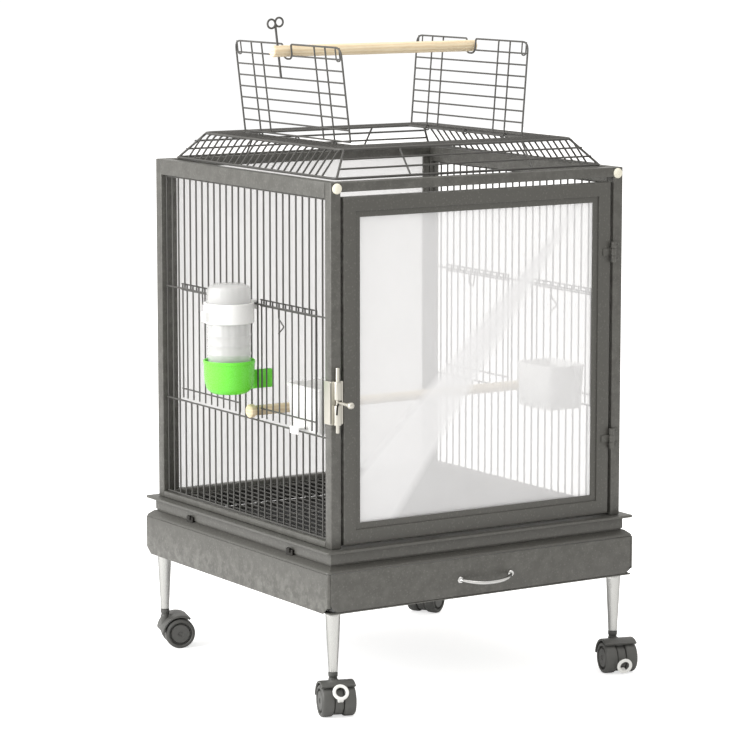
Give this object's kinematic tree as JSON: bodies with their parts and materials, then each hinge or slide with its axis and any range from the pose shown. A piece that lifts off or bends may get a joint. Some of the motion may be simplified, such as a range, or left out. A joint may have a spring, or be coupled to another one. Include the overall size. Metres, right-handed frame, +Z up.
{
  "type": "bird cage on stand",
  "caption": "Square wire bird cage on a low castor base: hinged clear front door, folding roof flaps holding a play perch, sliding feeder doors, cups, bottle feeder and slide-out tray.",
  "frame": {"origin": "on the floor, under the middle of the square base", "axes": "+Z up; -Y towards the front, where the door and the tray open; +X to the right seen from the front"},
  "size_m": [0.5187, 0.4934, 0.8382],
  "materials": {
    "hammered_grey": "dark grey hammertone paint, semi-gloss",
    "wire_grey": "dark grey powder coat on wire, semi-gloss",
    "clear_acrylic": "clear polished acrylic",
    "nickel": "nickel plated steel",
    "chrome": "bright chrome",
    "leg_silver": "bright silver, smooth",
    "cream_plastic": "cream moulded plastic",
    "white_plastic": "white moulded plastic",
    "green_plastic": "bright green moulded plastic",
    "castor_nylon": "dark grey nylon",
    "pedal_grey": "light grey moulded plastic",
    "tray_plastic": "dark grey moulded plastic",
    "pale_wood": "pale turned wood, unvarnished"
  },
  "bodies": {
    "cage": {"base_flange": "hammered_grey", "base_housing": "hammered_grey", "bottom_rail_left": "hammered_grey", "bottom_rail_rear": "hammered_grey", "bottom_rail_right": "hammered_grey", "corner_bolt_left": "cream_plastic", "corner_bolt_right": "cream_plastic", "floor_grate": "wire_grey", "hinge_lower_pin": "hammered_grey", "hinge_upper_pin": "hammered_grey", "inner_perch": "pale_wood", "latch_housing": "nickel", "leg_front_left": "leg_silver", "leg_front_right": "leg_silver", "leg_rear_left": "leg_silver", "leg_rear_right": "leg_silver", "post_front_left": "hammered_grey", "post_front_right": "hammered_grey", "post_rear_left": "hammered_grey", "post_rear_right": "hammered_grey", "rear_panel": "clear_acrylic", "roof_grille": "wire_grey", "side_panel_left": "wire_grey", "side_panel_right": "wire_grey", "top_rail_front": "hammered_grey", "top_rail_left": "hammered_grey", "top_rail_rear": "hammered_grey", "top_rail_right": "hammered_grey"},
    "tray": {"tray_pan": "tray_plastic", "tray_front": "hammered_grey", "tray_handle": "chrome"},
    "front_door": {"door_frame": "hammered_grey", "door_pane": "clear_acrylic", "hinge_upper_leaf": "hammered_grey", "hinge_lower_leaf": "hammered_grey"},
    "latch_bolt": {"latch_bolt": "nickel"},
    "roof_flap_left": {"roof_flap_left": "wire_grey"},
    "roof_flap_right": {"roof_flap_right": "wire_grey"},
    "play_perch": {"play_perch": "pale_wood"},
    "perch_pin": {"perch_pin": "wire_grey"},
    "feeder_door_front_left": {"feeder_door_front_left": "wire_grey"},
    "feeder_door_front_right": {"feeder_door_front_right": "wire_grey"},
    "feeder_door_rear_left": {"feeder_door_rear_left": "wire_grey"},
    "feeder_door_rear_right": {"feeder_door_rear_right": "wire_grey"},
    "food_cup_left": {"food_cup_left": "white_plastic"},
    "food_cup_right": {"food_cup_right": "white_plastic"},
    "feeder": {"feeder_tube": "clear_acrylic", "feeder_collar": "white_plastic", "feeder_cup": "green_plastic"},
    "castor_front_left": {"castor_front_left_hood": "castor_nylon"},
    "castor_front_left_wheels": {"castor_front_left_wheels": "castor_nylon"},
    "castor_front_right": {"castor_front_right_hood": "castor_nylon"},
    "castor_front_right_wheels": {"castor_front_right_wheels": "castor_nylon"},
    "castor_rear_left": {"castor_rear_left_hood": "castor_nylon"},
    "castor_rear_left_wheels": {"castor_rear_left_wheels": "castor_nylon"},
    "castor_rear_right": {"castor_rear_right_hood": "castor_nylon"},
    "castor_rear_right_wheels": {"castor_rear_right_wheels": "castor_nylon"},
    "castor_front_left_brake": {"castor_front_left_brake": "pedal_grey"},
    "castor_front_right_brake": {"castor_front_right_brake": "pedal_grey"}
  },
  "joints": [
    {"name": "tray_slide", "type": "slide", "parent": "cage", "child": "tray", "axis": [0, -1, 0], "range_m": [0, 0.36]},
    {"name": "front_door_hinge", "type": "hinge", "parent": "cage", "child": "front_door", "pos_m": [0.2006, -0.22065, 0.41915], "axis": [0, 0, 1], "range_deg": [0, 120]},
    {"name": "latch_turn", "type": "hinge", "parent": "cage", "child": "latch_bolt", "pos_m": [-0.211, -0.2222, 0.3847], "axis": [0, 0, 1], "range_deg": [0, 90]},
    {"name": "roof_flap_left_hinge", "type": "hinge", "parent": "cage", "child": "roof_flap_left", "pos_m": [-0.128, 0, 0.684], "axis": [0, 1, 0], "range_deg": [0, 97]},
    {"name": "roof_flap_right_hinge", "type": "hinge", "parent": "cage", "child": "roof_flap_right", "pos_m": [0.128, 0, 0.684], "axis": [0, -1, 0], "range_deg": [0, 94.5]},
    {"name": "play_perch_lift", "type": "slide", "parent": "cage", "child": "play_perch", "axis": [0, 0, 1], "range_m": [0, 0.12]},
    {"name": "perch_pin_pull", "type": "slide", "parent": "play_perch", "child": "perch_pin", "axis": [-0.1219, 0, 0.9925], "range_m": [0, 0.05]},
    {"name": "feeder_door_front_left_lift", "type": "slide", "parent": "cage", "child": "feeder_door_front_left", "axis": [0, 0, 1], "range_m": [0, 0.13]},
    {"name": "feeder_door_front_right_lift", "type": "slide", "parent": "cage", "child": "feeder_door_front_right", "axis": [0, 0, 1], "range_m": [0, 0.13]},
    {"name": "feeder_door_rear_left_lift", "type": "slide", "parent": "cage", "child": "feeder_door_rear_left", "axis": [0, 0, 1], "range_m": [0, 0.13]},
    {"name": "feeder_door_rear_right_lift", "type": "slide", "parent": "cage", "child": "feeder_door_rear_right", "axis": [0, 0, 1], "range_m": [0, 0.13]},
    {"name": "food_cup_left_lift", "type": "slide", "parent": "cage", "child": "food_cup_left", "axis": [0, 0, 1], "range_m": [0, 0.008]},
    {"name": "food_cup_right_lift", "type": "slide", "parent": "cage", "child": "food_cup_right", "axis": [0, 0, 1], "range_m": [0, 0.008]},
    {"name": "feeder_lift", "type": "slide", "parent": "cage", "child": "feeder", "axis": [0, 0, 1], "range_m": [0, 0.012]},
    {"name": "castor_front_left_swivel", "type": "hinge", "parent": "cage", "child": "castor_front_left", "pos_m": [-0.212, -0.212, 0.03], "axis": [0, 0, 1], "continuous": true},
    {"name": "castor_front_left_roll", "type": "hinge", "parent": "castor_front_left", "child": "castor_front_left_wheels", "pos_m": [-0.21725, -0.22817, 0.02], "axis": [0.9511, -0.309, 0], "continuous": true},
    {"name": "castor_front_left_brake", "type": "hinge", "parent": "castor_front_left", "child": "castor_front_left_brake", "pos_m": [-0.21725, -0.22817, 0.02], "axis": [0.9511, -0.309, 0], "range_deg": [0, 47]},
    {"name": "castor_front_right_swivel", "type": "hinge", "parent": "cage", "child": "castor_front_right", "pos_m": [0.212, -0.212, 0.03], "axis": [0, 0, 1], "continuous": true},
    {"name": "castor_front_right_roll", "type": "hinge", "parent": "castor_front_right", "child": "castor_front_right_wheels", "pos_m": [0.2076, -0.22842, 0.02], "axis": [0.9659, -0.2588, 0], "continuous": true},
    {"name": "castor_front_right_brake", "type": "hinge", "parent": "castor_front_right", "child": "castor_front_right_brake", "pos_m": [0.2076, -0.22842, 0.02], "axis": [0.9659, -0.2588, 0], "range_deg": [-47, 0]},
    {"name": "castor_rear_left_swivel", "type": "hinge", "parent": "cage", "child": "castor_rear_left", "pos_m": [-0.212, 0.212, 0.03], "axis": [0, 0, 1], "continuous": true},
    {"name": "castor_rear_left_roll", "type": "hinge", "parent": "castor_rear_left", "child": "castor_rear_left_wheels", "pos_m": [-0.19583, 0.20675, 0.02], "axis": [0.309, 0.9511, 0], "continuous": true},
    {"name": "castor_rear_right_swivel", "type": "hinge", "parent": "cage", "child": "castor_rear_right", "pos_m": [0.212, 0.212, 0.03], "axis": [0, 0, 1], "continuous": true},
    {"name": "castor_rear_right_roll", "type": "hinge", "parent": "castor_rear_right", "child": "castor_rear_right_wheels", "pos_m": [0.19728, 0.2035, 0.02], "axis": [0.5, -0.866, 0], "continuous": true}
  ]
}
